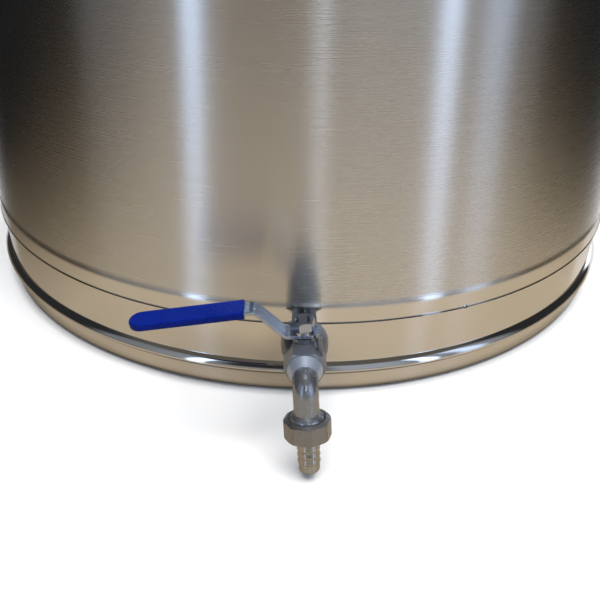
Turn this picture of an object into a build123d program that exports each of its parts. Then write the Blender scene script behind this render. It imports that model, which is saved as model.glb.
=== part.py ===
from build123d import *
import os
from math import cos, sin, tan, radians, sqrt

os.makedirs("parts", exist_ok=True)

# ---------------------------------------------------------------- tank, mm
SHELL_R = 273.8        # outer radius of the brushed wall
LAP_R = 275.0          # outer radius of the swaged lower lap
SHELL_T = 1.2          # wall sheet
SEAM_Z = 59.4          # lower edge of the lap
LIP_H = 1.4            # height of the small lip at that edge
LIP_OUT = 0.5          # how far the lip is turned out
JOG_LOW, JOG_HIGH = 70.0, 77.0   # swage between wall and lap
RIM_Z = 640.0          # centre height of the wired rim
RIM_BEAD_R = 5.0       # outside radius of the wired rim
RIM_CURL = 313.0       # how far the sheet is curled round the wire, degrees
WIRE_R = 3.7           # wire in the rim
SKIRT_R = 272.2        # outer radius of the polished skirt
SKIRT_T = 1.4          # skirt sheet
SKIRT_TOP_Z = 71.0     # upper edge of the skirt, inside the lap
BEAD_Z = 20.3          # height of the rolled bead's edge
BEAD_H = 4.4           # how far the bead stands out
BEAD_CREST_R = 6.0     # radius of the bead's round upper side
BEAD_EDGE_R = 1.6      # tight radius of the bead's edge
BEAD_RUN_R = 2.0       # hollow radius where the wall runs out into the bead
BEAD_UP = 45           # lean of the bead's straight upper side, degrees
BEAD_TURN = 5          # lean at which the round upper side meets the edge, degrees
BEAD_DOWN = 75         # lean of the bead's lower side, degrees
FOOT_CORNER_R = 6.0    # outer corner of the foot
FOOT_IN_R = 254.0      # inner edge of the inturned foot
BOTTOM_T = 1.5         # bottom sheet
BOTTOM_EDGE_Z = 50.5   # height of the bottom near its edge
BOTTOM_CROWN_Z = 56.0  # height of the bottom at its centre
BOTTOM_FLANGE_Z = 36.0 # lower edge of the bottom's flange

# ---------------------------------------------------------------- tap, mm
AXIS_Z = 64.0          # height of the tap's flow axis
TAP_ROLL = 3.8         # the tap sits turned this far about its flow axis, degrees
STEM_D = 316.8         # stem axis, from the tank's axis
LEG_D = 349.0          # where the spout leg's axis meets the flow axis
LEG_LEAN = 9.0         # the leg leans outward this far, degrees
SOCKET_R = 8.4         # welded socket, outside
SOCKET_BORE_R = 6.7
INLET_R = 6.58         # inlet thread of the tap
INLET_BORE_R = 4.6
SOCKET_IN, SOCKET_OUT = 261.0, 291.4
WASHER_T = 1.6         # sealing washer behind the tap
BODY_R = 15.3          # round rear of the body
HEX_AF = 23.1          # hexagonal front of the body, across flats
HEX_EDGE_R = 0.9       # its rounded corners
BODY_FRONT = 334.8     # front face of the body
BORE_R = 6.5           # water way
BALL_R = 8.5
BALL_BORE_R = 5.0
CHAMBER_R = 9.2
CONE_END = 342.1       # front of the cone
TUBE_R = 7.8           # spout tube, outside
TUBE_BORE_R = 6.2
BEND_R = 8.0           # centre-line radius of the spout's bend
NUT_TOP, NUT_BOTTOM = -21.9, -34.8     # union nut, along the leg from the flow axis
NUT_FLAT_R = 13.95     # union nut, across its eight flats / 2
NUT_LAND_R = 14.5      # union nut, across the narrow lands on its corners / 2
NUT_TURN = 6.0         # angle of the union nut's front corner
TAIL_END = -59.1       # lower end of the hose tail
TAIL_R = 6.55          # plain end of the hose tail
BARB_R = 7.15
TAIL_BORE_R = 4.5
LEVER_W = 13.0
LEVER_T = 2.5
LEVER_EDGE_R = 0.5     # rounded edges of the strip
LEVER_LOW = 15.0       # underside of the lever at the stem, from the flow axis
GRIP_W, GRIP_H = 16.4, 5.8
GRIP_EDGE_R = 1.9      # rounded edges of the grip
GRIP_START, GRIP_END = 35.1, 106.2
NUT_AF = 13.0          # lever nut

# ---------------------------------------------------------------- lid and handles, mm
LID_T = 1.2
LID_R = 287.0          # outer radius of the lid's drop edge
LID_EDGE_Z = 628.0     # lower edge of the lid
LID_SEAT_Z = 645.3     # underside of the lid on the rim
LID_TOP_Z = 676.0      # top of the lid's flat centre
LID_FLAT_R = 95.0
STRAP_W, STRAP_T = 26.0, 3.0
HANDLE_Z = 530.0       # pivot height of the drop handles
HANDLE_X = 284.2       # pivot distance from the tank's axis
ROD_R = 5.0            # drop handle rod
EYE_R, EYE_BORE_R = 8.2, 5.07
EYE_Y, EYE_LEN = 42.0, 14.0
BAIL_HALF = 58.0       # half width of the drop handle
BAIL_DROP = 66.0

# ---------------------------------------------------------------- planes of the tap
c, s = cos(radians(TAP_ROLL)), sin(radians(TAP_ROLL))
ACROSS = Vector(c, 0, s)       # across the tap
UP = Vector(-s, 0, c)          # along the stem
OUT = Vector(0, -1, 0)         # along the flow, away from the tank
lc, ls = cos(radians(LEG_LEAN)), sin(radians(LEG_LEAN))
LEG_UP = UP * lc - OUT * ls    # up along the spout's leg
LEG_OUT = OUT * lc + UP * ls   # square to the leg, away from the tank
CENTRE = Vector(0, 0, AXIS_Z)


def flow_plane(d):
    """Plane square to the flow axis at distance d; x across, y up the stem."""
    return Plane(origin=CENTRE + OUT * d, x_dir=ACROSS, z_dir=OUT)


def side_plane():
    """Plane through the flow axis and the stem; x outward, y up the stem."""
    return Plane(origin=CENTRE, x_dir=OUT, z_dir=OUT.cross(UP))


def stem_plane(h):
    """Plane square to the stem at height h above the flow axis; x across."""
    return Plane(origin=CENTRE + OUT * STEM_D + UP * h, x_dir=ACROSS, z_dir=UP)


def leg_plane(h):
    """Plane square to the spout's leg, h along it from the flow axis; x across."""
    return Plane(origin=CENTRE + OUT * LEG_D + LEG_UP * h, x_dir=ACROSS, z_dir=LEG_UP)


def leg_side_plane():
    """Plane through the leg's axis and the flow axis; x outward from the leg, y up along it."""
    return Plane(origin=CENTRE + OUT * LEG_D, x_dir=LEG_OUT, z_dir=LEG_OUT.cross(LEG_UP))


FLOW_AXIS = Axis(CENTRE, OUT)
STEM_AXIS = Axis(CENTRE + OUT * STEM_D, UP)
LEG_AXIS = Axis(CENTRE + OUT * LEG_D, LEG_UP)


def save(builder, name):
    builder.part.label = name
    export_step(builder.part, f"parts/{name}.step")


# ================================================================ tank wall
mid_r, mid_z = (LAP_R + SHELL_R) / 2, (JOG_LOW + JOG_HIGH) / 2
CURL_C = SHELL_R - SHELL_T + RIM_BEAD_R     # radius of the wire's centre line


def on_curl(r, turned):
    """Point of the rim's curl at radius r from the wire, turned this far from the wall."""
    a = radians(180 - turned)
    return (CURL_C + r * cos(a), RIM_Z + r * sin(a))


CURL_IN = RIM_BEAD_R - SHELL_T
with BuildPart() as tank_shell:
    with BuildSketch(Plane.XZ):
        with BuildLine():
            # lower edge of the lap, turned out a little
            Polyline((LAP_R - SHELL_T, SEAM_Z + LIP_H), (LAP_R - SHELL_T + LIP_OUT, SEAM_Z), (LAP_R + LIP_OUT - 0.15, SEAM_Z), (LAP_R + LIP_OUT, SEAM_Z + 0.15), (LAP_R, SEAM_Z + LIP_H))
            Line((LAP_R, SEAM_Z + LIP_H), (LAP_R, JOG_LOW))
            TangentArc((LAP_R, JOG_LOW), (mid_r, mid_z), tangent=(0, 1))
            TangentArc((SHELL_R, JOG_HIGH), (mid_r, mid_z), tangent=(0, -1))
            Line((SHELL_R, JOG_HIGH), (SHELL_R, RIM_Z))
            ThreePointArc((SHELL_R, RIM_Z), on_curl(CURL_IN, RIM_CURL / 2), on_curl(CURL_IN, RIM_CURL))
            Line(on_curl(CURL_IN, RIM_CURL), on_curl(RIM_BEAD_R, RIM_CURL))
            ThreePointArc(on_curl(RIM_BEAD_R, RIM_CURL), on_curl(RIM_BEAD_R, RIM_CURL / 2), (SHELL_R - SHELL_T, RIM_Z))
            Line((SHELL_R - SHELL_T, RIM_Z), (SHELL_R - SHELL_T, JOG_HIGH))
            TangentArc((SHELL_R - SHELL_T, JOG_HIGH), (mid_r - SHELL_T, mid_z), tangent=(0, -1))
            TangentArc((LAP_R - SHELL_T, JOG_LOW), (mid_r - SHELL_T, mid_z), tangent=(0, 1))
            Line((LAP_R - SHELL_T, JOG_LOW), (LAP_R - SHELL_T, SEAM_Z + LIP_H))
        make_face()
    revolve(axis=Axis.Z)
    # outlet hole
    with BuildSketch(flow_plane(240)):
        Circle(SOCKET_R + 0.05)
    extrude(amount=60, mode=Mode.SUBTRACT)
save(tank_shell, "tank_shell")

# ================================================================ wire in the rim
with BuildPart() as rim_wire:
    with BuildSketch(Plane.XZ):
        with Locations((CURL_C, RIM_Z)):
            Circle(WIRE_R)
    revolve(axis=Axis.Z)
save(rim_wire, "rim_wire")

# ================================================================ base skirt
lap_in = LAP_R - SHELL_T - 0.05
edge_c = SKIRT_R + BEAD_H - BEAD_EDGE_R     # radius of the edge's centre line
crest_c = edge_c - (BEAD_CREST_R - BEAD_EDGE_R) * cos(radians(BEAD_TURN))
crest_z = BEAD_Z - (BEAD_CREST_R - BEAD_EDGE_R) * sin(radians(BEAD_TURN))
run = BEAD_RUN_R * tan(radians(BEAD_UP / 2))
up_r, up_z = run * sin(radians(BEAD_UP)), run * cos(radians(BEAD_UP))


def on_crest(cut, lean):
    """Point of the bead's round upper side, cut back from the outside, where it leans this far."""
    return (crest_c + (BEAD_CREST_R - cut) * cos(radians(lean)), crest_z + (BEAD_CREST_R - cut) * sin(radians(lean)))


def on_edge(cut, lean):
    """Point of the bead's edge, cut back from the outside, where it leans this far."""
    return (edge_c + (BEAD_EDGE_R - cut) * cos(radians(lean)), BEAD_Z + (BEAD_EDGE_R - cut) * sin(radians(lean)))


def meets_wall(point, wall, lean):
    """Height at which a straight side through the point meets the wall."""
    return point[1] + (point[0] - wall) / tan(radians(lean))


JS0, JS1 = 59.0, 64.0      # joggle of the skirt, hidden behind the lap
jm, jz = (lap_in + SKIRT_R) / 2, (JS0 + JS1) / 2
i_ = SKIRT_T
widen = (BEAD_RUN_R + SKIRT_T) / BEAD_RUN_R
top_z, low_z = meets_wall(on_crest(0, BEAD_UP), SKIRT_R, BEAD_UP), meets_wall(on_edge(0, -BEAD_DOWN), SKIRT_R, -BEAD_DOWN)
top_in, low_in = meets_wall(on_crest(i_, BEAD_UP), SKIRT_R - i_, BEAD_UP), meets_wall(on_edge(i_, -BEAD_DOWN), SKIRT_R - i_, -BEAD_DOWN)
turn_mid, edge_mid = (BEAD_UP + BEAD_TURN) / 2, (BEAD_TURN - BEAD_DOWN) / 2
with BuildPart() as base_skirt:
    with BuildSketch(Plane.XZ):
        with BuildLine():
            Line((lap_in, SKIRT_TOP_Z), (lap_in, JS1))
            TangentArc((lap_in, JS1), (jm, jz), tangent=(0, -1))
            TangentArc((SKIRT_R, JS0), (jm, jz), tangent=(0, 1))
            Line((SKIRT_R, JS0), (SKIRT_R, top_z + run))
            TangentArc((SKIRT_R, top_z + run), (SKIRT_R + up_r, top_z - up_z), tangent=(0, -1))
            Line((SKIRT_R + up_r, top_z - up_z), on_crest(0, BEAD_UP))
            ThreePointArc(on_crest(0, BEAD_UP), on_crest(0, turn_mid), on_crest(0, BEAD_TURN))
            ThreePointArc(on_crest(0, BEAD_TURN), on_edge(0, edge_mid), on_edge(0, -BEAD_DOWN))
            Line(on_edge(0, -BEAD_DOWN), (SKIRT_R, low_z))
            Line((SKIRT_R, low_z), (SKIRT_R, FOOT_CORNER_R))
            TangentArc((SKIRT_R, FOOT_CORNER_R), (SKIRT_R - FOOT_CORNER_R, 0), tangent=(0, -1))
            Line((SKIRT_R - FOOT_CORNER_R, 0), (FOOT_IN_R, 0))
            Line((FOOT_IN_R, 0), (FOOT_IN_R, i_))
            Line((FOOT_IN_R, i_), (SKIRT_R - FOOT_CORNER_R, i_))
            TangentArc((SKIRT_R - FOOT_CORNER_R, i_), (SKIRT_R - i_, FOOT_CORNER_R), tangent=(1, 0))
            Line((SKIRT_R - i_, FOOT_CORNER_R), (SKIRT_R - i_, low_in))
            Line((SKIRT_R - i_, low_in), on_edge(i_, -BEAD_DOWN))
            ThreePointArc(on_edge(i_, -BEAD_DOWN), on_edge(i_, edge_mid), on_crest(i_, BEAD_TURN))
            ThreePointArc(on_crest(i_, BEAD_TURN), on_crest(i_, turn_mid), on_crest(i_, BEAD_UP))
            Line(on_crest(i_, BEAD_UP), (SKIRT_R - i_ + up_r * widen, top_in - up_z * widen))
            TangentArc((SKIRT_R - i_, top_z + run), (SKIRT_R - i_ + up_r * widen, top_in - up_z * widen), tangent=(0, -1))
            Line((SKIRT_R - i_, top_z + run), (SKIRT_R - i_, JS0))
            TangentArc((SKIRT_R - i_, JS0), (jm - i_, jz), tangent=(0, 1))
            TangentArc((lap_in - i_, JS1), (jm - i_, jz), tangent=(0, -1))
            Line((lap_in - i_, JS1), (lap_in - i_, SKIRT_TOP_Z))
            Line((lap_in - i_, SKIRT_TOP_Z), (lap_in, SKIRT_TOP_Z))
        make_face()
    revolve(axis=Axis.Z)
    with BuildSketch(flow_plane(240)):
        Circle(SOCKET_R + 0.05)
    extrude(amount=60, mode=Mode.SUBTRACT)
save(base_skirt, "base_skirt")

# ================================================================ tank bottom
flange_r = SKIRT_R - SKIRT_T - 0.05
bend = 8.0
with BuildPart() as tank_bottom:
    with BuildSketch(Plane.XZ):
        with BuildLine():
            Line((0, BOTTOM_CROWN_Z - BOTTOM_T), (0, BOTTOM_CROWN_Z))
            Line((0, BOTTOM_CROWN_Z), (60, BOTTOM_CROWN_Z))
            Line((60, BOTTOM_CROWN_Z), (flange_r - bend, BOTTOM_EDGE_Z))
            TangentArc((flange_r, BOTTOM_EDGE_Z - bend), (flange_r - bend, BOTTOM_EDGE_Z), tangent=(0, 1))
            Line((flange_r, BOTTOM_EDGE_Z - bend), (flange_r, BOTTOM_FLANGE_Z))
            Line((flange_r, BOTTOM_FLANGE_Z), (flange_r - BOTTOM_T, BOTTOM_FLANGE_Z))
            Line((flange_r - BOTTOM_T, BOTTOM_FLANGE_Z), (flange_r - BOTTOM_T, BOTTOM_EDGE_Z - bend))
            TangentArc((flange_r - BOTTOM_T, BOTTOM_EDGE_Z - bend), (flange_r - bend, BOTTOM_EDGE_Z - BOTTOM_T), tangent=(0, 1))
            Line((flange_r - bend, BOTTOM_EDGE_Z - BOTTOM_T), (60, BOTTOM_CROWN_Z - BOTTOM_T))
            Line((60, BOTTOM_CROWN_Z - BOTTOM_T), (0, BOTTOM_CROWN_Z - BOTTOM_T))
        make_face()
    revolve(axis=Axis.Z)
save(tank_bottom, "tank_bottom")

# ================================================================ welded outlet socket
with BuildPart() as outlet_socket:
    with BuildSketch(side_plane()):
        # weld bead between socket and skirt, inside the tank
        with BuildLine():
            Polyline((264.4, SOCKET_R - 1), (264.4, SOCKET_R + 0.2), (265.8, SOCKET_R + 1.5), (268.0, SOCKET_R + 2.2), (273.0, SOCKET_R + 2.4), (273.0, SOCKET_R - 1), close=True)
        make_face()
    revolve(axis=FLOW_AXIS)
    # the bead stops at the skirt's inner face
    with BuildSketch(Plane.XZ):
        Polygon((SKIRT_R - SKIRT_T - 0.03, 30), (300, 30), (300, 100), (SKIRT_R - SKIRT_T - 0.03, 100), align=None)
    revolve(axis=Axis.Z, mode=Mode.SUBTRACT)
    with BuildSketch(flow_plane(SOCKET_IN)):
        Circle(SOCKET_R)
    extrude(amount=SOCKET_OUT - SOCKET_IN)
    with BuildSketch(flow_plane(SOCKET_IN - 1)):
        Circle(SOCKET_BORE_R)
    extrude(amount=SOCKET_OUT - SOCKET_IN + 2, mode=Mode.SUBTRACT)
save(outlet_socket, "outlet_socket")

with BuildPart() as inlet_washer:
    with BuildSketch(flow_plane(SOCKET_OUT)):
        Circle(SOCKET_R + 0.1)
        Circle(SOCKET_BORE_R - 0.05, mode=Mode.SUBTRACT)
    extrude(amount=WASHER_T)
save(inlet_washer, "inlet_washer")

# ================================================================ tap body
BODY_REAR = SOCKET_OUT + WASHER_T
SEAT_REAR = STEM_D - 10.5
SEAT_FRONT = STEM_D + 10.5
with BuildPart() as valve_body:
    # inlet thread, rounded rear, round barrel
    with BuildSketch(side_plane()):
        with BuildLine():
            Line((273, 0), (273, INLET_R - 0.7))
            Line((273, INLET_R - 0.7), (273.7, INLET_R))
            Line((273.7, INLET_R), (BODY_REAR, INLET_R))
            Line((BODY_REAR, INLET_R), (BODY_REAR, 9.2))
            TangentArc((303.5, BODY_R), (BODY_REAR, 9.2), tangent=(-1, 0))
            Line((303.5, BODY_R), (304.5, BODY_R))
            TangentArc((304.5, BODY_R), (321.5, 11.3), tangent=(1, 0))
            Line((321.5, 11.3), (321.5, 0))
            Line((321.5, 0), (273, 0))
        make_face()
    revolve(axis=FLOW_AXIS)
    # hexagonal front
    with BuildSketch(flow_plane(305)) as hexagon:
        RegularPolygon(radius=HEX_AF / 2, side_count=6, major_radius=False)
        fillet(hexagon.vertices(), HEX_EDGE_R)
    extrude(amount=BODY_FRONT - 305)
    with BuildSketch(side_plane()):
        with BuildLine():
            Polyline((BODY_FRONT - 1.5, HEX_AF / 2 + 2.4), (BODY_FRONT + 1, HEX_AF / 2 - 1.2), (BODY_FRONT + 1, HEX_AF / 2 + 2.4), close=True)
        make_face()
    revolve(axis=FLOW_AXIS, mode=Mode.SUBTRACT)
    # flat on the barrel's top, under the lever
    with BuildSketch(stem_plane(14.4)):
        Rectangle(40, 36)
    extrude(amount=6, mode=Mode.SUBTRACT)
    # stem boss
    with BuildSketch(stem_plane(9.5)):
        Circle(7.4)
    extrude(amount=5.0)
    # stop lugs for the lever, one at each end of its quarter turn
    with BuildSketch(stem_plane(4.5)):
        with Locations((10.0, -8.2), (-8.2, 10.0)):
            RectangleRounded(3.2, 3.4, 0.6)
    extrude(amount=12.7)
    # water way, chamber, thread for the adapter
    with BuildSketch(flow_plane(269)):
        Circle(INLET_BORE_R)
    extrude(amount=60, mode=Mode.SUBTRACT)
    with BuildSketch(flow_plane(SEAT_REAR)):
        Circle(CHAMBER_R)
    extrude(amount=BODY_FRONT - SEAT_REAR + 1, mode=Mode.SUBTRACT)
    with BuildSketch(flow_plane(SEAT_FRONT)):
        Circle(9.7)
    extrude(amount=BODY_FRONT - SEAT_FRONT + 1, mode=Mode.SUBTRACT)
    # stem pocket, stem hole, packing box
    with BuildSketch(stem_plane(0)):
        Circle(5.6)
    extrude(amount=10.1, mode=Mode.SUBTRACT)
    with BuildSketch(stem_plane(10)):
        Circle(4.06)
    extrude(amount=8, mode=Mode.SUBTRACT)
    with BuildSketch(stem_plane(10.9)):
        Circle(6.05)
    extrude(amount=8, mode=Mode.SUBTRACT)
save(valve_body, "valve_body")

# ================================================================ ball and seats
with BuildPart() as valve_ball:
    with Locations(Plane(origin=CENTRE + OUT * STEM_D, x_dir=ACROSS, z_dir=UP)):
        Sphere(BALL_R)
    # closed at rest: the ball's bore lies across the flow
    with BuildSketch(Plane(origin=CENTRE + OUT * STEM_D - ACROSS * 12, x_dir=OUT, z_dir=ACROSS)):
        Circle(BALL_BORE_R)
    extrude(amount=24, mode=Mode.SUBTRACT)
    # slot for the stem's tang, along the flow
    with BuildSketch(stem_plane(5.9)):
        Rectangle(4.1, 24)
    extrude(amount=6, mode=Mode.SUBTRACT)
save(valve_ball, "valve_ball")

for label, start, length in (("seat_rear", SEAT_REAR, 5.0), ("seat_front", SEAT_FRONT - 5.0, 5.0)):
    with BuildPart() as seat:
        with BuildSketch(flow_plane(start)):
            Circle(CHAMBER_R - 0.05)
            Circle(5.2, mode=Mode.SUBTRACT)
        extrude(amount=length)
        with Locations(Plane(origin=CENTRE + OUT * STEM_D, x_dir=ACROSS, z_dir=UP)):
            Sphere(BALL_R + 0.1, mode=Mode.SUBTRACT)
    save(seat, label)

# ================================================================ stem
with BuildPart() as valve_stem:
    with BuildSketch(stem_plane(6.0)):
        Rectangle(3.9, 8.0)
    extrude(amount=2.6)
    with BuildSketch(stem_plane(8.5)):
        Circle(5.4)
    extrude(amount=0.9)
    with BuildSketch(stem_plane(9.3)):
        Circle(4.0)
    extrude(amount=5.6)
    # two flats drive the lever
    with BuildSketch(stem_plane(14.8)):
        Circle(4.0)
        Rectangle(6.0, 10.0, mode=Mode.INTERSECT)
    extrude(amount=10.1)
    chamfer(valve_stem.faces().sort_by(Axis((0, 0, 0), UP))[-1].edges(), 0.5)
save(valve_stem, "valve_stem")

with BuildPart() as stem_washer:
    with BuildSketch(stem_plane(9.42)):
        Circle(5.5)
        Circle(4.1, mode=Mode.SUBTRACT)
    extrude(amount=0.65)
save(stem_washer, "stem_washer")

with BuildPart() as stem_packing:
    with BuildSketch(stem_plane(10.95)):
        Circle(6.0)
        Circle(4.06, mode=Mode.SUBTRACT)
    extrude(amount=1.9)
save(stem_packing, "stem_packing")

with BuildPart() as gland_ring:
    with BuildSketch(stem_plane(12.9)):
        Circle(6.0)
        Circle(4.1, mode=Mode.SUBTRACT)
    extrude(amount=1.7)
    with BuildSketch(stem_plane(14.0)):
        Rectangle(14, 1.4)
    extrude(amount=2, mode=Mode.SUBTRACT)
save(gland_ring, "gland_ring")

# ================================================================ cone adapter and spout
with BuildPart() as spout_adapter:
    with BuildSketch(side_plane()):
        with BuildLine():
            Polyline((SEAT_FRONT + 0.05, BORE_R), (SEAT_FRONT + 0.05, 9.1), (SEAT_FRONT + 0.55, 9.6), (BODY_FRONT + 0.02, 9.6), (BODY_FRONT + 0.02, 11.1),
                     (BODY_FRONT + 0.5, 11.1), (CONE_END - 0.9, 8.35), (CONE_END, 8.0), (CONE_END, BORE_R), close=True)
        make_face()
    revolve(axis=FLOW_AXIS)
save(spout_adapter, "spout_adapter")

COLLAR_TOP = -18.4
THREAD_END = -29.0
with BuildPart() as spout_tube:
    with BuildLine(side_plane()) as spout_path:
        FilletPolyline((CONE_END + 0.02, 0), (LEG_D, 0), (LEG_D - (COLLAR_TOP - 1) * ls, (COLLAR_TOP - 1) * lc), radius=BEND_R)
    with BuildSketch(flow_plane(CONE_END + 0.02)):
        Circle(TUBE_R)
    sweep(path=spout_path.line)
    # threaded collar at the lower end
    with BuildSketch(leg_side_plane()):
        with BuildLine():
            Polyline((0, COLLAR_TOP), (TUBE_R - 0.2, COLLAR_TOP), (TUBE_R + 0.25, COLLAR_TOP - 0.25), (9.4, COLLAR_TOP - 1.4), (10.1, COLLAR_TOP - 2.3), (10.5, COLLAR_TOP - 3.3),
                     (10.5, THREAD_END + 0.8), (9.8, THREAD_END), (0, THREAD_END), close=True)
        make_face()
    revolve(axis=LEG_AXIS)
    # water way
    with BuildSketch(flow_plane(CONE_END + 0.02)):
        Circle(TUBE_BORE_R)
    sweep(path=spout_path.line, mode=Mode.SUBTRACT)
    with BuildSketch(leg_plane(COLLAR_TOP - 0.9)):
        Circle(TUBE_BORE_R)
    extrude(amount=-14, mode=Mode.SUBTRACT)
save(spout_tube, "spout_tube")

with BuildPart() as union_washer:
    with BuildSketch(leg_plane(THREAD_END - 1.55)):
        Circle(9.9)
        Circle(5.4, mode=Mode.SUBTRACT)
    extrude(amount=1.5)
save(union_washer, "union_washer")

# ================================================================ union nut and hose tail
FLANGE_TOP, FLANGE_LOW = THREAD_END - 1.6, THREAD_END - 3.2
with BuildPart() as union_nut:
    with BuildSketch(leg_plane(NUT_BOTTOM)):
        RegularPolygon(radius=NUT_FLAT_R, side_count=8, major_radius=False, rotation=-90 + NUT_TURN)
        RegularPolygon(radius=NUT_LAND_R, side_count=8, major_radius=False, rotation=-67.5 + NUT_TURN, mode=Mode.INTERSECT)
    extrude(amount=NUT_TOP - NUT_BOTTOM)
    # turned chamfers on the corners
    with BuildSketch(leg_side_plane()):
        with BuildLine():
            Polyline((NUT_LAND_R + 1, NUT_TOP - 1.9), (NUT_LAND_R - 3.0, NUT_TOP + 0.2), (NUT_LAND_R + 1, NUT_TOP + 0.2), close=True)
        make_face()
        with BuildLine():
            Polyline((NUT_LAND_R + 1, NUT_BOTTOM + 1.1), (NUT_LAND_R - 1.6, NUT_BOTTOM - 0.2), (NUT_LAND_R + 1, NUT_BOTTOM - 0.2), close=True)
        make_face()
    revolve(axis=LEG_AXIS, mode=Mode.SUBTRACT)
    # thread, lip under the tail's flange, mouth chamfer
    with BuildSketch(leg_plane(FLANGE_LOW - 0.3)):
        Circle(10.85)
    extrude(amount=20, mode=Mode.SUBTRACT)
    with BuildSketch(leg_plane(NUT_BOTTOM - 1)):
        Circle(7.3)
    extrude(amount=10, mode=Mode.SUBTRACT)
save(union_nut, "union_nut")

h0 = TAIL_END
with BuildPart() as hose_tail:
    with BuildSketch(leg_side_plane()):
        with BuildLine():
            Polyline((TAIL_BORE_R, FLANGE_TOP), (9.9, FLANGE_TOP), (9.9, FLANGE_LOW), (6.95, FLANGE_LOW), (6.95, -38.6),
                     (6.6, -39.2), (BARB_R, -42.4), (BARB_R, -43.0), (6.6, -43.9),
                     (6.6, -44.3), (BARB_R - 0.03, -46.9), (BARB_R - 0.03, -47.5), (6.58, -48.4),
                     (6.58, -48.8), (BARB_R - 0.07, -51.5), (BARB_R - 0.07, -52.1), (TAIL_R, -52.9),
                     (TAIL_R, -57.0), (6.25, -58.1), (5.6, -58.85), (5.0, h0), (TAIL_BORE_R, h0), close=True)
        make_face()
    revolve(axis=LEG_AXIS)
save(hose_tail, "hose_tail")

# ================================================================ lever with grip, washer and nut
ORIGIN_L = CENTRE + OUT * STEM_D
lever_plane = Plane(origin=ORIGIN_L, x_dir=-ACROSS, z_dir=Vector(0, 1, 0))     # x along the lever, y up the stem
mid_h = LEVER_LOW + LEVER_T / 2
HANDLE_SLOPE = 5.0
KNEE_L, CREST_L, BAR_END = 10.8, 28.6, 99.5
LEVER_INNER = 10.4     # inner end of the lever, from the stem
crest_h = 35.15
end_h = crest_h - tan(radians(HANDLE_SLOPE)) * (BAR_END - CREST_L)
ld = Vector(cos(radians(HANDLE_SLOPE)), -sin(radians(HANDLE_SLOPE)), 0)
with BuildPart() as lever:
    with BuildLine(lever_plane) as lever_path:
        FilletPolyline((-LEVER_INNER, mid_h), (KNEE_L, mid_h), (CREST_L, crest_h), (BAR_END, end_h), radius=6.5)
    with BuildSketch(Plane(origin=lever_path.line @ 0, x_dir=Vector(0, 1, 0), z_dir=lever_path.line % 0)):
        RectangleRounded(LEVER_W, LEVER_T, LEVER_EDGE_R)
    sweep(path=lever_path.line)
    # rounded inner end
    with BuildSketch(stem_plane(LEVER_LOW - 1)):
        with Locations((LEVER_INNER - LEVER_W / 2 + 5, 0)):
            Rectangle(10, LEVER_W + 2)
        with Locations((LEVER_INNER - LEVER_W / 2, 0)):
            Circle(LEVER_W / 2, mode=Mode.SUBTRACT)
    extrude(amount=LEVER_T + 2, mode=Mode.SUBTRACT)
    # hole with two flats
    with BuildSketch(stem_plane(LEVER_LOW - 1)):
        Circle(4.05)
        Rectangle(6.1, 10.0, mode=Mode.INTERSECT)
    extrude(amount=5, mode=Mode.SUBTRACT)
save(lever, "lever")


def along(l):
    """Point on the handle part of the lever, l from the stem, and its height."""
    return (l, crest_h - tan(radians(HANDLE_SLOPE)) * (l - CREST_L))


g0 = lever_plane.from_local_coords(Vector(*along(GRIP_START)))
handle_dir = (-ACROSS) * ld.X + UP * ld.Y
norm = handle_dir.cross(Vector(0, 1, 0))
grip_l = (GRIP_END - GRIP_START) / ld.X
with BuildPart() as lever_grip:
    # flat sleeve with a round outer end
    with BuildSketch(Plane(origin=g0 - norm * (GRIP_H / 2), x_dir=handle_dir, z_dir=norm)):
        with Locations(((grip_l - GRIP_W / 2) / 2, 0)):
            Rectangle(grip_l - GRIP_W / 2, GRIP_W)
        with Locations((grip_l - GRIP_W / 2, 0)):
            Circle(GRIP_W / 2)
    extrude(amount=GRIP_H)
    # soft edges along it and round its end
    fillet([e for e in lever_grip.edges() if (e.center() - g0).dot(handle_dir) > 0.1 and abs(abs((e.center() - g0).dot(norm)) - GRIP_H / 2) < 0.01], GRIP_EDGE_R)
    # strip of the lever inside
    with BuildSketch(Plane(origin=g0 - handle_dir * 1, x_dir=Vector(0, 1, 0), z_dir=handle_dir)):
        Rectangle(LEVER_W + 0.06, LEVER_T + 0.06)
    extrude(amount=1 + (BAR_END - GRIP_START) / ld.X + 0.1, mode=Mode.SUBTRACT)
save(lever_grip, "lever_grip")

WASH_LOW = LEVER_LOW + LEVER_T + 0.02
with BuildPart() as lever_washer:
    with BuildSketch(stem_plane(WASH_LOW)):
        Circle(7.0)
        Circle(4.15, mode=Mode.SUBTRACT)
        with Locations((4.6, -3.4)):
            Rectangle(9, 0.9, rotation=-38, mode=Mode.SUBTRACT)
    extrude(amount=1.9)
save(lever_washer, "lever_washer")

LN = WASH_LOW + 1.92
with BuildPart() as lever_nut:
    with BuildSketch(stem_plane(LN)):
        RegularPolygon(radius=NUT_AF / 2, side_count=6, major_radius=False, rotation=13)
    extrude(amount=6.4)
    with BuildSketch(Plane(origin=ORIGIN_L, x_dir=ACROSS, z_dir=ACROSS.cross(UP))):
        with BuildLine():
            Polyline((NUT_AF / 2 - 0.25, LN + 6.5), (NUT_AF / 2 + 1.6, LN + 5.2), (NUT_AF / 2 + 1.6, LN + 6.5), close=True)
        make_face()
        with BuildLine():
            Polyline((NUT_AF / 2 - 0.1, LN - 0.1), (NUT_AF / 2 + 1.6, LN + 0.9), (NUT_AF / 2 + 1.6, LN - 0.1), close=True)
        make_face()
        with BuildLine():
            Polyline((0, LN + 4.9), (4.05, LN + 5.4), (5.2, LN + 6.5), (0, LN + 6.5), close=True)
        make_face()
    revolve(axis=STEM_AXIS, mode=Mode.SUBTRACT)
    with BuildSketch(stem_plane(LN - 1)):
        Circle(4.05)
    extrude(amount=9, mode=Mode.SUBTRACT)
save(lever_nut, "lever_nut")

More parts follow.
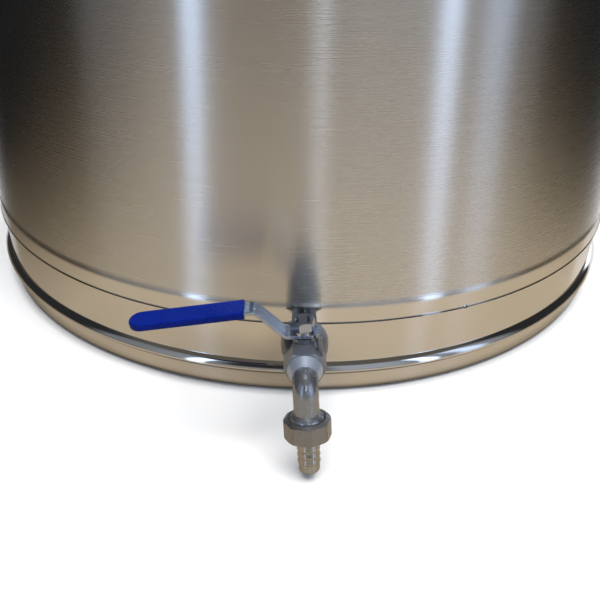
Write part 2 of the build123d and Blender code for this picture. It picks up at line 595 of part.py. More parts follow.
# ================================================================ lid
with BuildPart() as lid:
    with BuildSketch(Plane.XZ):
        with BuildLine() as lid_line:
            FilletPolyline((0, LID_TOP_Z), (LID_FLAT_R, LID_TOP_Z), (255, LID_SEAT_Z + LID_T + 4), (266, LID_SEAT_Z + LID_T), (LID_R, LID_SEAT_Z + LID_T), (LID_R, LID_EDGE_Z),
                           radius=[60, 12, 8, 5])
            FilletPolyline((0, LID_TOP_Z - LID_T), (LID_FLAT_R, LID_TOP_Z - LID_T), (255, LID_SEAT_Z + 4), (266, LID_SEAT_Z), (LID_R - LID_T, LID_SEAT_Z), (LID_R - LID_T, LID_EDGE_Z),
                           radius=[60, 12, 8, 3.8])
            Line((0, LID_TOP_Z), (0, LID_TOP_Z - LID_T))
            Line((LID_R, LID_EDGE_Z), (LID_R - LID_T, LID_EDGE_Z))
        make_face()
    revolve(axis=Axis.Z)
    # rivet holes of the handle
    with BuildSketch(Plane.XY.offset(LID_TOP_Z - 5)):
        with GridLocations(130, 13, 2, 2):
            Circle(2.45)
    extrude(amount=10, mode=Mode.SUBTRACT)
save(lid, "lid")

hz = LID_TOP_Z + 0.02 + STRAP_T / 2
with BuildPart() as lid_handle:
    with BuildLine(Plane.XZ) as strap_path:
        FilletPolyline((-77, hz), (-52, hz), (-46, hz + 40), (46, hz + 40), (52, hz), (77, hz), radius=[5, 14, 14, 5])
    with BuildSketch(Plane(origin=strap_path.line @ 0, x_dir=Vector(0, 1, 0), z_dir=strap_path.line % 0)):
        Rectangle(STRAP_W, STRAP_T)
    sweep(path=strap_path.line)
    fillet([e for e in lid_handle.edges().filter_by(GeomType.LINE) if abs(e.length - STRAP_T) < 0.01 and abs(abs(e.center().X) - 77) < 0.1], 6)
    with BuildSketch(Plane.XY.offset(LID_TOP_Z - 2)):
        with GridLocations(130, 13, 2, 2):
            Circle(2.45)
    extrude(amount=10, mode=Mode.SUBTRACT)
save(lid_handle, "lid_handle")

with BuildPart() as lid_rivets:
    with BuildSketch(Plane.XY.offset(LID_TOP_Z - LID_T - 1.2)):
        with GridLocations(130, 13, 2, 2):
            Circle(4.2)
    extrude(amount=1.15)
    with BuildSketch(Plane.XY.offset(LID_TOP_Z - LID_T - 0.2)):
        with GridLocations(130, 13, 2, 2):
            Circle(2.4)
    extrude(amount=LID_T + STRAP_T + 0.5)
    with BuildSketch(Plane.XY.offset(LID_TOP_Z + STRAP_T + 0.06)):
        with GridLocations(130, 13, 2, 2):
            Circle(4.6)
    extrude(amount=2.2, taper=30)
save(lid_rivets, "lid_rivets")

# ================================================================ drop handles on both sides
for label, side in (("right", 1), ("left", -1)):
    with BuildPart() as handle_plate:
        # pad that follows the wall
        with BuildSketch(Plane.XY.offset(HANDLE_Z - 26)):
            Circle(SHELL_R + 2.05)
            Circle(SHELL_R + 0.05, mode=Mode.SUBTRACT)
            with Locations((side * SHELL_R, 0)):
                Rectangle(40, 108, mode=Mode.INTERSECT)
        extrude(amount=46)
        pad_corners = [e for e in handle_plate.edges().filter_by(GeomType.LINE) if 1.8 < e.length < 2.4]
        fillet(pad_corners, 9)
        # eyes for the rod
        for y in (-EYE_Y, EYE_Y):
            with BuildSketch(Plane.XZ.offset(-y - EYE_LEN / 2)):
                with Locations((side * HANDLE_X, HANDLE_Z)):
                    Circle(EYE_R)
                with Locations((side * (HANDLE_X - 6.2), HANDLE_Z)):
                    Rectangle(12.4, 2 * EYE_R)
            extrude(amount=EYE_LEN)
        # nothing of the eyes inside the wall
        with BuildSketch(Plane.XY.offset(HANDLE_Z - 40)):
            Circle(SHELL_R + 0.05)
        extrude(amount=80, mode=Mode.SUBTRACT)
        with BuildSketch(Plane.XZ.offset(-80)):
            with Locations((side * HANDLE_X, HANDLE_Z)):
                Circle(EYE_BORE_R)
        extrude(amount=160, mode=Mode.SUBTRACT)
    save(handle_plate, f"handle_plate_{label}")

    with BuildPart() as handle_bail:
        with BuildLine(Plane(origin=(side * HANDLE_X, 0, HANDLE_Z), x_dir=(0, 1, 0), z_dir=(1, 0, 0))) as bail_path:
            FilletPolyline((-(EYE_Y - EYE_LEN / 2 - 4), 0), (-BAIL_HALF, 0), (-BAIL_HALF, -BAIL_DROP), (BAIL_HALF, -BAIL_DROP), (BAIL_HALF, 0), (EYE_Y - EYE_LEN / 2 - 4, 0),
                           radius=[7, 16, 16, 7])
        with BuildSketch(Plane(origin=bail_path.line @ 0, x_dir=(0, 0, 1), z_dir=bail_path.line % 0)):
            Circle(ROD_R)
        sweep(path=bail_path.line)
        chamfer(handle_bail.faces().filter_by(GeomType.PLANE).edges(), 0.8)
    save(handle_bail, f"handle_bail_{label}")
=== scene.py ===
"""Looks of a stainless steel tank with a ball tap: brushed and polished steel, a vinyl grip, a pale floor and soft light."""

from math import asin, cos, exp, pi, radians, sin, tan

import bpy
from mathutils import Matrix, Vector


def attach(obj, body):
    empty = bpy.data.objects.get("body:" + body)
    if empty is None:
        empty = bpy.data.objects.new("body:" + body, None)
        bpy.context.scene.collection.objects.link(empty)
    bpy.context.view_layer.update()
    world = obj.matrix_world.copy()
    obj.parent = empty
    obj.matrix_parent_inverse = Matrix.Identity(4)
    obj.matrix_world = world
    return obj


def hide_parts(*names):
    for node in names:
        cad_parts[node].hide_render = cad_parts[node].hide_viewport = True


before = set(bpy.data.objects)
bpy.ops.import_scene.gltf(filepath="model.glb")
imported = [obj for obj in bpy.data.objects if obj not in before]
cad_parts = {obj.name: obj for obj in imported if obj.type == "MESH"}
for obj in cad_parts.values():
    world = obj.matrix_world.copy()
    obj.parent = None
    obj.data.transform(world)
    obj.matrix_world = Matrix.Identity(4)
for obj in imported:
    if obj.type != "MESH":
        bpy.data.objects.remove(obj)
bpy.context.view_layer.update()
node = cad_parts


# ---------------------------------------------------------------- materials
class Paint:
    """A material with one Principled shader and helpers for the patterns behind it."""

    def __init__(self, name):
        self.material = bpy.data.materials.new(name)
        self.material.use_nodes = True
        self.tree = self.material.node_tree
        self.tree.nodes.clear()
        out = self.tree.nodes.new("ShaderNodeOutputMaterial")
        self.shader = self.tree.nodes.new("ShaderNodeBsdfPrincipled")
        self.tree.links.new(self.shader.outputs["BSDF"], out.inputs["Surface"])
        self.place = self.tree.nodes.new("ShaderNodeTexCoord").outputs["Object"]

    def set(self, **values):
        for key, value in values.items():
            self.shader.inputs[key.replace("_", " ")].default_value = value
        return self

    def join(self, socket, key):
        self.tree.links.new(socket, self.shader.inputs[key])
        return self

    def scaled(self, sx, sy, sz, turn=(0, 0, 0)):
        m = self.tree.nodes.new("ShaderNodeMapping")
        m.inputs["Scale"].default_value = (sx, sy, sz)
        m.inputs["Rotation"].default_value = turn
        self.tree.links.new(self.place, m.inputs["Vector"])
        return m.outputs["Vector"]

    def rings(self, k_r, k_z, k_side):
        """Coordinates that run along circles round Z: fine across them, slow along them."""
        xyz = self.tree.nodes.new("ShaderNodeSeparateXYZ")
        self.tree.links.new(self.place, xyz.inputs[0])
        flat = self.tree.nodes.new("ShaderNodeCombineXYZ")
        self.tree.links.new(xyz.outputs["X"], flat.inputs["X"])
        self.tree.links.new(xyz.outputs["Y"], flat.inputs["Y"])
        length = self.tree.nodes.new("ShaderNodeVectorMath")
        length.operation = "LENGTH"
        self.tree.links.new(flat.outputs[0], length.inputs[0])
        both = self.math("ADD", self.math("MULTIPLY", length.outputs["Value"], k_r), self.math("MULTIPLY", xyz.outputs["Z"], k_z))
        made = self.tree.nodes.new("ShaderNodeCombineXYZ")
        self.tree.links.new(self.math("MULTIPLY", xyz.outputs["X"], k_side), made.inputs["X"])
        self.tree.links.new(self.math("MULTIPLY", xyz.outputs["Y"], k_side), made.inputs["Y"])
        self.tree.links.new(both, made.inputs["Z"])
        return made.outputs[0]

    def noise(self, vector, detail=2.0, rough=0.5, scale=1.0):
        n = self.tree.nodes.new("ShaderNodeTexNoise")
        n.inputs["Scale"].default_value = scale
        n.inputs["Detail"].default_value = detail
        n.inputs["Roughness"].default_value = rough
        self.tree.links.new(vector, n.inputs["Vector"])
        return n.outputs["Fac"]

    def math(self, operation, a, b):
        m = self.tree.nodes.new("ShaderNodeMath")
        m.operation = operation
        for i, v in enumerate((a, b)):
            if isinstance(v, (int, float)):
                m.inputs[i].default_value = v
            else:
                self.tree.links.new(v, m.inputs[i])
        return m.outputs[0]

    def span(self, value, low, high, to_low, to_high, smooth=False):
        r = self.tree.nodes.new("ShaderNodeMapRange")
        r.interpolation_type = "SMOOTHSTEP" if smooth else "LINEAR"
        for key, v in (("From Min", low), ("From Max", high), ("To Min", to_low), ("To Max", to_high)):
            if isinstance(v, (int, float)):
                r.inputs[key].default_value = v
            else:
                self.tree.links.new(v, r.inputs[key])
        self.tree.links.new(value, r.inputs["Value"])
        return r.outputs["Result"]

    def ramp(self, value, *stops):
        r = self.tree.nodes.new("ShaderNodeValToRGB")
        while len(r.color_ramp.elements) < len(stops):
            r.color_ramp.elements.new(0.5)
        for e, (at, colour) in zip(r.color_ramp.elements, stops):
            e.position = at
            e.color = (*colour, 1)
        self.tree.links.new(value, r.inputs["Fac"])
        return r.outputs["Color"]

    def blend(self, fac, a, b):
        m = self.tree.nodes.new("ShaderNodeMix")
        m.data_type = "RGBA"
        self.tree.links.new(fac, m.inputs["Factor"])
        self.tree.links.new(a, m.inputs[6])
        self.tree.links.new(b, m.inputs[7])
        return m.outputs[2]

    def height(self):
        xyz = self.tree.nodes.new("ShaderNodeSeparateXYZ")
        self.tree.links.new(self.place, xyz.inputs[0])
        return xyz.outputs["Z"]

    def bump(self, height, strength, distance):
        b = self.tree.nodes.new("ShaderNodeBump")
        b.inputs["Strength"].default_value = strength
        b.inputs["Distance"].default_value = distance
        self.tree.links.new(height, b.inputs["Height"])
        return self.join(b.outputs["Normal"], "Normal")

    def brushed_round(self):
        t = self.tree.nodes.new("ShaderNodeTangent")
        t.direction_type = "RADIAL"
        t.axis = "Z"
        return self.join(t.outputs["Tangent"], "Tangent")


STEEL = (0.66, 0.645, 0.615)


def shade(colour, k):
    return tuple(min(1.0, c * k) for c in colour)


def wall_steel():
    """Brushed round the tank, with the swaged lap below it polished."""
    p = Paint("wall_steel")
    p.set(Metallic=1.0, Anisotropic=1.0, Anisotropic_Rotation=0.25)
    lines = p.noise(p.scaled(9, 9, 900), 3, 0.65)
    fine = p.noise(p.scaled(26, 26, 2600), 2, 0.6)
    cloud = p.noise(p.scaled(5, 5, 3.2), 2, 0.5)
    streak = p.math("ADD", p.math("MULTIPLY", lines, 0.6), p.math("MULTIPLY", fine, 0.4))
    z = p.height()
    brushed = p.span(z, 0.0705, 0.0745, 0.0, 1.0, True)
    # Painted shade: below about 60.2 mm, the lap's lower edge and slope take a darkened copy of the steel. It stands
    # for the shade in the crevice over the skirt.
    lip_painted_shade = p.span(z, 0.0602, 0.0609, 1.0, 0.0, True)
    satin = p.math("ADD", p.span(streak, 0.3, 0.7, 0.255, 0.28), p.span(cloud, 0.3, 0.7, -0.01, 0.012))
    mirror = p.span(lines, 0.3, 0.7, 0.07, 0.11)
    p.join(p.math("ADD", p.math("MULTIPLY", satin, brushed), p.math("MULTIPLY", mirror, p.math("SUBTRACT", 1.0, brushed))), "Roughness")
    tone = p.math("ADD", p.math("MULTIPLY", streak, 0.75), p.math("MULTIPLY", cloud, 0.25))
    clean = p.ramp(tone, (0.3, shade(STEEL, 0.94)), (0.7, shade(STEEL, 1.05)))
    p.join(p.blend(lip_painted_shade, clean, p.ramp(tone, (0.3, shade(STEEL, 0.20)), (0.7, shade(STEEL, 0.28)))), "Base Color")
    p.bump(p.math("MULTIPLY", streak, brushed), 0.006, 0.0003)
    return p.brushed_round().material


def polished_steel():
    p = Paint("polished_steel")
    p.set(Metallic=1.0, Anisotropic=0.6, Anisotropic_Rotation=0.25)
    lines = p.noise(p.scaled(14, 14, 700), 3, 0.6)
    cloud = p.noise(p.scaled(16, 16, 10), 3, 0.55)
    p.join(p.math("ADD", p.span(lines, 0.3, 0.7, 0.06, 0.09), p.span(cloud, 0.35, 0.7, 0.0, 0.035)), "Roughness")
    tone = p.math("ADD", p.math("MULTIPLY", lines, 0.4), p.math("MULTIPLY", cloud, 0.6))
    clean = p.ramp(tone, (0.3, shade(STEEL, 0.96)), (0.7, shade(STEEL, 1.04)))
    z = p.height()
    # Painted shade: two bands take a darkened copy of the steel. One lies just under the rolled bead, at about 15 to
    # 19.6 mm. The other is the skirt above about 58.4 mm, where it runs up under the wall's lap.
    under_bead_painted_shade = p.math("MULTIPLY", p.span(z, 0.0152, 0.0164, 0.0, 1.0, True), p.span(z, 0.0190, 0.0196, 1.0, 0.0, True))
    painted_shade_bands = p.math("MAXIMUM", p.span(z, 0.0584, 0.0591, 0.0, 1.0, True), under_bead_painted_shade)
    p.join(p.blend(painted_shade_bands, clean, p.ramp(tone, (0.3, shade(STEEL, 0.26)), (0.7, shade(STEEL, 0.34)))), "Base Color")
    p.bump(p.noise(p.scaled(22, 22, 30), 1, 0.4), 0.05, 0.0006)
    return p.brushed_round().material


def sheet_steel(name, coordinates, round_z):
    p = Paint(name)
    p.set(Metallic=1.0, Anisotropic=0.7)
    lines = p.noise(coordinates(p), 3, 0.6)
    cloud = p.noise(p.scaled(7, 7, 7), 3, 0.5)
    p.join(p.math("ADD", p.span(lines, 0.3, 0.7, 0.24, 0.33), p.span(cloud, 0.3, 0.7, -0.02, 0.03)), "Roughness")
    tone = p.math("ADD", p.math("MULTIPLY", lines, 0.65), p.math("MULTIPLY", cloud, 0.35))
    p.join(p.ramp(tone, (0.3, shade(STEEL, 0.92)), (0.7, shade(STEEL, 1.03))), "Base Color")
    p.bump(lines, 0.05, 0.0004)
    if round_z:
        p.set(Anisotropic_Rotation=0.25).brushed_round()
    else:
        p.set(Anisotropic=0.0)
    return p.material


def plain_steel(name, colour, low, high, grain, deep, drawn=(1, 1, 1), metal=1.0):
    """Machined, drawn or cast steel: fine grain over soft stains."""
    p = Paint(name)
    p.set(Metallic=metal)
    fine = p.noise(p.scaled(*(grain * d for d in drawn)), 3, 0.6)
    stain = p.noise(p.scaled(70, 70, 70), 3, 0.55)
    tone = p.math("ADD", p.math("MULTIPLY", fine, 0.5), p.math("MULTIPLY", stain, 0.5))
    p.join(p.span(tone, 0.3, 0.7, low, high), "Roughness")
    p.join(p.ramp(tone, (0.28, shade(colour, 0.84)), (0.5, colour), (0.72, shade(colour, 1.06))), "Base Color")
    p.bump(fine, deep, 0.0003)
    return p.material


def grip_vinyl():
    p = Paint("grip_vinyl")
    p.set(Specular_IOR_Level=0.07)
    skin = p.noise(p.scaled(600, 600, 600), 3, 0.6)
    worn = p.noise(p.scaled(60, 60, 60), 3, 0.55)
    p.join(p.ramp(worn, (0.3, (0.0018, 0.0105, 0.155)), (0.7, (0.003, 0.015, 0.19))), "Base Color")
    p.join(p.math("ADD", p.span(worn, 0.3, 0.7, 0.24, 0.36), p.span(skin, 0.3, 0.7, -0.03, 0.03)), "Roughness")
    p.bump(skin, 0.05, 0.0003)
    return p.material


def seal(name, dark, light, low, high):
    p = Paint(name)
    p.set(Specular_IOR_Level=0.4)
    mottle = p.noise(p.scaled(420, 420, 420), 4, 0.6)
    p.join(p.ramp(mottle, (0.3, dark), (0.7, light)), "Base Color")
    p.join(p.span(mottle, 0.3, 0.7, low, high), "Roughness")
    p.bump(mottle, 0.08, 0.0003)
    return p.material


wall = wall_steel()
polished = polished_steel()
lid_steel = sheet_steel("lid_steel", lambda p: p.rings(900, 900, 8), True)
bottom_steel = sheet_steel("bottom_steel", lambda p: p.rings(700, 700, 8), True)
strap_steel = sheet_steel("strap_steel", lambda p: p.scaled(25, 1400, 1400), False)
plate_steel = sheet_steel("plate_steel", lambda p: p.scaled(1200, 30, 1200), False)
rod_steel = plain_steel("rod_steel", STEEL, 0.17, 0.26, 500, 0.03, (1, 0.3, 1))
# Painted light in the tap's steels: their bluish tints are painted reflection of the bluish window light. The cone's
# pale blue tone is a painted lit copy of the cast steel for its upward faces. The neck's very dark tone is painted
# shade between the tap and the wall.
cast_steel = plain_steel("cast_steel", (0.215, 0.232, 0.262), 0.26, 0.36, 620, 0.10, metal=0.78)
cone_steel = plain_steel("cone_steel", (0.48, 0.55, 0.67), 0.30, 0.40, 900, 0.20, metal=0.72)
nut_steel = plain_steel("nut_steel", (0.245, 0.24, 0.232), 0.24, 0.34, 700, 0.10, (1, 1, 0.15), metal=0.88)
tube_steel = plain_steel("tube_steel", (0.29, 0.305, 0.335), 0.23, 0.30, 700, 0.04, (1, 1, 0.12), metal=0.85)
tail_steel = plain_steel("tail_steel", (0.40, 0.392, 0.375), 0.09, 0.15, 800, 0.03, (0.3, 0.3, 1))
small_steel = plain_steel("small_steel", (0.42, 0.465, 0.55), 0.10, 0.17, 900, 0.03, metal=0.95)
lever_steel = plain_steel("lever_steel", (0.36, 0.42, 0.53), 0.20, 0.29, 420, 0.05, (0.3, 1, 1), metal=0.93)
ball_steel = plain_steel("ball_steel", STEEL, 0.07, 0.13, 700, 0.02)
neck_steel = plain_steel("neck_steel", (0.13, 0.14, 0.165), 0.32, 0.42, 700, 0.05, (1, 0.2, 1))
vinyl = grip_vinyl()
white_seal = seal("seal_white", (0.72, 0.71, 0.68), (0.82, 0.81, 0.79), 0.38, 0.5)
dark_seal = seal("seal_rubber", (0.015, 0.015, 0.016), (0.035, 0.035, 0.036), 0.55, 0.7)

looks = {
    "tank_shell": wall, "base_skirt": polished, "tank_bottom": bottom_steel, "outlet_socket": neck_steel, "rim_wire": rod_steel,
    "lid": lid_steel, "lid_handle": strap_steel, "lid_rivets": rod_steel,
    "handle_plate_right": plate_steel, "handle_plate_left": plate_steel, "handle_bail_right": rod_steel, "handle_bail_left": rod_steel,
    "valve_body": cast_steel, "spout_adapter": cone_steel, "spout_tube": tube_steel, "union_nut": nut_steel, "hose_tail": tail_steel,
    "lever": lever_steel, "lever_grip": vinyl, "lever_washer": small_steel, "lever_nut": small_steel, "valve_stem": small_steel,
    "valve_ball": ball_steel, "gland_ring": small_steel, "stem_washer": white_seal, "stem_packing": white_seal,
    "seat_rear": white_seal, "seat_front": white_seal, "inlet_washer": white_seal, "union_washer": dark_seal,
}
for name, material in looks.items():
    node[name].data.materials.clear()
    node[name].data.materials.append(material)


# ---------------------------------------------------------------- wall and skirt, turned finely
def bow(r0, z0, r1, z1, n=8):
    """S curve between two upright lines, as two equal arcs."""
    dr, dz = (r1 - r0) / 2, (z1 - z0) / 2
    big = (dr * dr + dz * dz) / (2 * abs(dr))
    full = asin(abs(dz) / big)
    way_r, way_z = (1 if dr > 0 else -1), (1 if dz > 0 else -1)
    half = [(way_r * big * (1 - cos(full * i / n)), way_z * big * sin(full * i / n)) for i in range(n + 1)]
    return [(r0 + a, z0 + b) for a, b in half] + [(r1 - a, z1 - b) for a, b in reversed(half[:-1])]


def arc(r, z, radius, start, end, n):
    return [(r + radius * cos(radians(start + (end - start) * i / n)), z + radius * sin(radians(start + (end - start) * i / n))) for i in range(n + 1)]


def rise_line(r, z0, z1, n):
    return [(r, z0 + (z1 - z0) * i / n) for i in range(n + 1)]


def wall_profile():
    lap, sheet, body, wire = 275.0, 1.2, 273.8, 277.6
    outer = [(lap - sheet, 60.8), (lap - sheet + 0.5, 59.4), (lap + 0.35, 59.4), (lap + 0.5, 59.55)]
    outer += rise_line(lap, 60.8, 70.0, 12) + bow(lap, 70.0, body, 77.0)[1:] + rise_line(body, 77.0, 640.0, 24)[1:]
    curl = arc(wire, 640, 3.8, 180, -133, 40)[1:] + arc(wire, 640, 5.0, -133, 180, 40)
    inner = rise_line(body - sheet, 640.0, 77.0, 24)[1:] + bow(body - sheet, 77.0, lap - sheet, 70.0)[1:] + rise_line(lap - sheet, 70.0, 60.8, 12)[1:-1]
    return outer + curl + inner


def skirt_profile():
    top, body, sheet = 273.75, 272.2, 1.4
    stand, crest, edge, hollow, up, flat, down, bead = 4.4, 8.0, 0.9, 0.5, 53, 12, 75, 20.45
    edge_r = body + stand - edge
    crest_r, crest_z = edge_r - (crest - edge) * cos(radians(flat)), bead - (crest - edge) * sin(radians(flat))

    def beaded(cut):
        """Hollow run-out, straight and round upper side, tight edge and straight lower side, cut back by the sheet's thickness for the inside."""
        skin, round_, tight = body - cut, arc(crest_r, crest_z, crest - cut, up, flat + (5 if cut else 0), 18), arc(edge_r, bead, edge, flat, -down, 14)
        upper = round_[0][1] + (round_[0][0] - skin) / tan(radians(up)) + (hollow + cut) * tan(radians(up / 2))
        lower = tight[-1][1] - (tight[-1][0] - skin) / tan(radians(down)) + cut / sin(radians(down))
        bend = arc(skin + hollow + cut, upper, hollow + cut, 180, 180 + up, 10)
        slope = [(bend[-1][0] + (round_[0][0] - bend[-1][0]) * i / 4, bend[-1][1] + (round_[0][1] - bend[-1][1]) * i / 4) for i in range(1, 4)]
        return bend + slope + round_ + ([] if cut else tight[1:]) + [(skin, lower)]

    runout = beaded(0.0)[0][1]
    outer = rise_line(top, 71.0, 64.0, 9) + bow(top, 64.0, body, 59.0)[1:] + rise_line(body, 59.0, runout, 10)[1:]
    outer += beaded(0.0)[1:] + [(body, 6.0)] + arc(body - 6, 6, 6, 0, -90, 14)[1:] + [(254.0, 0.0)]
    inner = [(254.0, sheet), (body - 6, sheet)] + arc(body - 6, 6, 6 - sheet, -90, 0, 12)[1:]
    inner += [(a, b) for a, b in reversed(beaded(sheet))] + rise_line(body - sheet, runout, 59.0, 10)[1:]
    inner += bow(body - sheet, 59.0, top - sheet, 64.0)[1:] + rise_line(top - sheet, 64.0, 71.0, 9)[1:]
    return outer + inner


TACK = -65.8      # where a weld tack stands on the seam, degrees round Z


def turned(name, profile, material, hole=7.7, axis=64.0):
    """Closed profile turned round Z, with finer steps and an opening where the tap's neck passes through at the front."""
    near = [-90 + 0.16 * i for i in range(-15, 16)] + [TACK + 0.08 * i for i in range(-8, 9)]
    angles = sorted(near + [-87.6 + 355.2 * i / 470 for i in range(1, 470)])
    points = []
    for a in angles:
        for r, z in profile:
            r += 0.9 * exp(-((a - TACK) / 0.26) ** 2 - ((z - 60.0) / 1.2) ** 2) if r > 274.9 else 0.0
            points.append((r * cos(radians(a)) / 1000, r * sin(radians(a)) / 1000, z / 1000))
    n, m = len(angles), len(profile)
    faces = []
    for i in range(n):
        k = (i + 1) % n
        for j in range(m):
            l = (j + 1) % m
            ring = (i * m + j, k * m + j, k * m + l, i * m + l)
            x = sum(points[v][0] for v in ring) / 4
            y = sum(points[v][1] for v in ring) / 4
            z = sum(points[v][2] for v in ring) / 4
            if y > 0 or x * x + (z - axis / 1000) ** 2 > (hole / 1000) ** 2:
                faces.append(ring)
    made = mesh_object(name, points, faces, material)
    made.data.polygons.foreach_set("use_smooth", [True] * len(faces))
    made.data.set_sharp_from_angle(angle=radians(32))
    made.data.update()
    return made


def mesh_object(name, points, faces, material):
    mesh = bpy.data.meshes.new(name)
    mesh.from_pydata(points, [], faces)
    made = bpy.data.objects.new(name, mesh)
    bpy.context.scene.collection.objects.link(made)
    made.data.materials.append(material)
    return made


for name, profile, material, finish, stands_for in (
    ("wall", wall_profile(), wall, "wall_steel", "tank_shell"),
    ("skirt", skirt_profile(), polished, "polished_steel", "base_skirt"),
):
    piece = turned(name, profile, material)
    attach(piece, "tank")
    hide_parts(stands_for)


# ---------------------------------------------------------------- stage
def seen_by(thing, camera, diffuse, glossy, shadow):
    thing.visible_camera, thing.visible_diffuse, thing.visible_glossy, thing.visible_shadow = camera, diffuse, glossy, shadow
    thing.visible_transmission = camera
    return thing


def disc(name, radius, z, material, rings=48):
    points = [(0, 0, z)] + [(radius * cos(2 * pi * i / rings), radius * sin(2 * pi * i / rings), z) for i in range(rings)]
    return mesh_object(name, points, [(0, i + 1, (i + 1) % rings + 1) for i in range(rings)], material)


def floor_paint(name, colour, rough):
    p = Paint(name)
    p.set(Specular_IOR_Level=0.2)
    p.join(p.ramp(p.noise(p.scaled(3, 3, 3), 2, 0.5), (0.3, shade(colour, 0.985)), (0.7, colour)), "Base Color")
    p.set(Roughness=rough)
    return p.material


floor = seen_by(disc("floor", 30, -0.0004, floor_paint("floor_paint", (0.93, 0.93, 0.93), 0.9)), True, False, False, False)


def warm_paint():
    """Semi-gloss warm boards that the steel reflects, with painted light and shade: a painted pool of light round the
    front of the tank that fades with distance, painted shade beside and behind it, and a painted contact shadow in a
    thin ring at the tank's foot.
    """
    p = Paint("warm_paint")
    p.set(Specular_IOR_Level=0.5, Roughness=0.24)
    far = p.tree.nodes.new("ShaderNodeVectorMath")
    far.operation = "LENGTH"
    p.tree.links.new(p.place, far.inputs[0])
    xyz = p.tree.nodes.new("ShaderNodeSeparateXYZ")
    p.tree.links.new(p.place, xyz.inputs[0])
    beside = p.math("ADD", p.math("ABSOLUTE", p.math("SUBTRACT", xyz.outputs["X"], 0.045), 0.0), p.math("MULTIPLY", xyz.outputs["Y"], 0.6))
    # Painted light: the board colour darkens with distance and in a thin ring at the tank's foot (painted contact
    # shadow). The side ramp below is a painted pool of light in front of the tank.
    board_and_painted_light = p.ramp(p.math("MULTIPLY", far.outputs["Value"], 0.4),
                   (0.1085, (0.20, 0.165, 0.12)), (0.1106, (0.26, 0.215, 0.157)), (0.1128, (0.50, 0.415, 0.305)), (0.144, (0.47, 0.385, 0.275)), (0.18, (0.43, 0.36, 0.265)), (0.24, (0.38, 0.32, 0.24)),
                   (0.34, (0.29, 0.245, 0.19)), (0.48, (0.24, 0.20, 0.16)), (0.72, (0.14, 0.125, 0.105)), (1.0, (0.04, 0.037, 0.033)))
    painted_pool = p.ramp(beside, (0.15, (1, 1, 1)), (0.27, (0.70, 0.69, 0.67)), (0.35, (0.42, 0.40, 0.37)), (0.46, (0.30, 0.28, 0.25)),
                   (0.58, (0.07, 0.065, 0.06)), (0.75, (0.02, 0.02, 0.02)))
    both = p.tree.nodes.new("ShaderNodeVectorMath")
    both.operation = "MULTIPLY"
    p.tree.links.new(board_and_painted_light, both.inputs[0])
    p.tree.links.new(painted_pool, both.inputs[1])
    p.join(both.outputs[0], "Base Color")
    return p.material


warm = seen_by(disc("warm_floor", 30, -0.0008, warm_paint()), False, True, True, False)

p = Paint("backdrop_paint")
p.set(Base_Color=(0, 0, 0, 1), Specular_IOR_Level=0.0, Emission_Strength=0.93)
p.join(p.ramp(p.noise(p.scaled(0.2, 0.2, 0.2), 1, 0.5), (0.3, (0.985, 0.985, 0.985)), (0.7, (1, 1, 1))), "Emission Color")
ring = 64
points = [(29 * cos(2 * pi * i / ring), 29 * sin(2 * pi * i / ring), z) for z in (-0.02, 30) for i in range(ring)]
backdrop = seen_by(mesh_object("backdrop", points, [(i, (i + 1) % ring, ring + (i + 1) % ring, ring + i) for i in range(ring)], p.material), True, False, False, False)


def soft_box(name, place, aim, width, depth, power, colour=(1, 1, 1), glossy=True):
    light = bpy.data.lights.new(name, "AREA")
    light.shape = "RECTANGLE"
    light.size, light.size_y = width, depth
    light.energy = power
    light.color = colour
    made = bpy.data.objects.new(name, light)
    bpy.context.scene.collection.objects.link(made)
    made.location = place
    made.rotation_mode = "QUATERNION"
    made.rotation_quaternion = (Vector(aim) - Vector(place)).to_track_quat("-Z", "Y")
    made.visible_camera = False
    made.visible_glossy = glossy
    return made


soft_box("top_light", (0.3, -0.6, 3.0), (0, -0.1, 0), 3.2, 3.2, 190, (1, 0.985, 0.96), False)

# ---------------------------------------------------------------- room light
world = bpy.data.worlds.new("room")
bpy.context.scene.world = world
world.use_nodes = True
tree = world.node_tree
tree.nodes.clear()
out = tree.nodes.new("ShaderNodeOutputWorld")
back = tree.nodes.new("ShaderNodeBackground")
tree.links.new(back.outputs[0], out.inputs[0])
way = tree.nodes.new("ShaderNodeSeparateXYZ")
tree.links.new(tree.nodes.new("ShaderNodeTexCoord").outputs["Generated"], way.inputs[0])


def op(kind, a, b=0.0):
    m = tree.nodes.new("ShaderNodeMath")
    m.operation = kind
    for i, v in enumerate((a, b)):
        if isinstance(v, (int, float)):
            m.inputs[i].default_value = v
        else:
            tree.links.new(v, m.inputs[i])
    return m.outputs[0]


def step(value, at, soft):
    r = tree.nodes.new("ShaderNodeMapRange")
    r.interpolation_type = "SMOOTHSTEP"
    r.inputs["From Min"].default_value = at - soft
    r.inputs["From Max"].default_value = at + soft
    tree.links.new(value, r.inputs["Value"])
    return r.outputs["Result"]


side = op("MULTIPLY", op("ARCTAN2", way.outputs["X"], op("MULTIPLY", way.outputs["Y"], -1.0)), 180 / pi)
rise = op("MULTIPLY", op("ARCSINE", way.outputs["Z"]), 180 / pi)


def window(low, high, bottom, top, soft=2.0, soft_z=4.0):
    across = op("SUBTRACT", step(side, low, soft), step(side, high, soft))
    up = op("SUBTRACT", step(rise, bottom, soft_z), step(rise, top, soft_z))
    return op("MULTIPLY", across, up)


def layer(total, mask, colour):
    v = tree.nodes.new("ShaderNodeVectorMath")
    v.operation = "MULTIPLY_ADD"
    c = tree.nodes.new("ShaderNodeCombineXYZ")
    for i in range(3):
        tree.links.new(mask, c.inputs[i])
    tree.links.new(c.outputs[0], v.inputs[0])
    v.inputs[1].default_value = colour
    tree.links.new(total, v.inputs[2])
    return v.outputs[0]


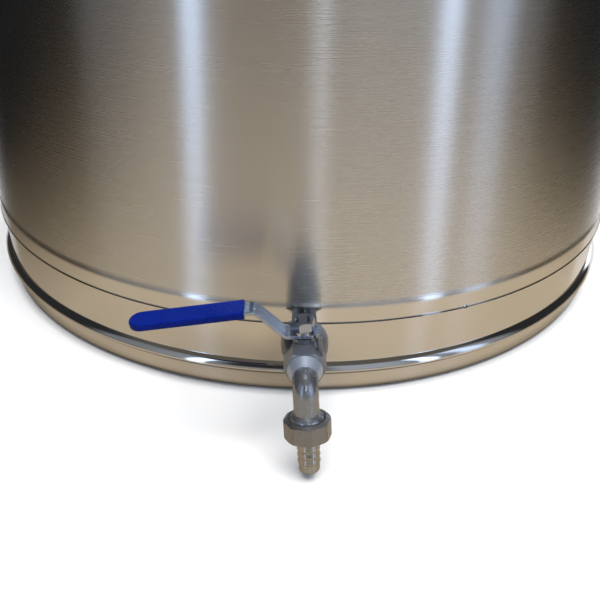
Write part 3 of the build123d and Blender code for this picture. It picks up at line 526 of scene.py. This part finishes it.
base = tree.nodes.new("ShaderNodeCombineXYZ")
for i, v in enumerate((0.028, 0.029, 0.032)):
    base.inputs[i].default_value = v
total = base.outputs[0]
for mask, colour in (
    (window(-38.4, -32.4, -8, 40, 1.0), (1.8, 2.4, 3.45)),
    (window(-74, -28, 0, 46, 6, 6), (0.21, 0.225, 0.255)),
    (window(-52, -28, 0, 46, 6, 6), (0.06, 0.065, 0.075)),
    (step(rise, 48, 5), (0.10, 0.086, 0.064)),
    (window(-28, 8, -8, 14, 5, 4), (0.24, 0.24, 0.25)),
    (window(41.2, 47.6, -8, 40, 1.0), (1.85, 2.4, 3.4)),
    (window(10, 78, 0, 46, 6, 6), (0.27, 0.29, 0.33)),
    (window(12, 36, 0, 46, 5, 6), (0.12, 0.14, 0.18)),
    (window(56, 66, -8, 40, 3.0), (0.75, 0.95, 1.35)),
    (window(4.6, 6.0, 22, 50, 0.5), (17.0, 19.5, 24.0)),
    (window(128, 152, 2, 40), (2.6, 2.8, 3.1)),
    (window(-164, -140, 2, 40), (2.6, 2.8, 3.1)),
    (step(rise, 78, 6), (1.05, 1.15, 1.3)),
):
    total = layer(total, mask, colour)
tree.links.new(total, back.inputs["Color"])
back.inputs["Strength"].default_value = 1.0

# ---------------------------------------------------------------- camera
lens = bpy.data.cameras.new("camera")
lens.sensor_width = 36
lens.lens = 49.2
lens.clip_start, lens.clip_end = 0.02, 100
camera = bpy.data.objects.new("camera", lens)
bpy.context.scene.collection.objects.link(camera)
turn, tilt, roll = radians(0.88), radians(30.90), radians(1.2266)
level = Vector((sin(turn), cos(turn), 0))
right = Vector((cos(turn), -sin(turn), 0))
ahead = level * cos(tilt) - Vector((0, 0, 1)) * sin(tilt)
above = level * sin(tilt) + Vector((0, 0, 1)) * cos(tilt)
axis_x = right * cos(roll) + above * sin(roll)
axis_y = above * cos(roll) - right * sin(roll)
stand = Matrix((axis_x, axis_y, -ahead)).transposed().to_4x4()
stand.translation = Vector((-0.0102167, -0.740193, 0.35665))
camera.matrix_world = stand
scene = bpy.context.scene
scene.camera = camera
scene.view_settings.view_transform = "Standard"
scene.view_settings.look = "None"
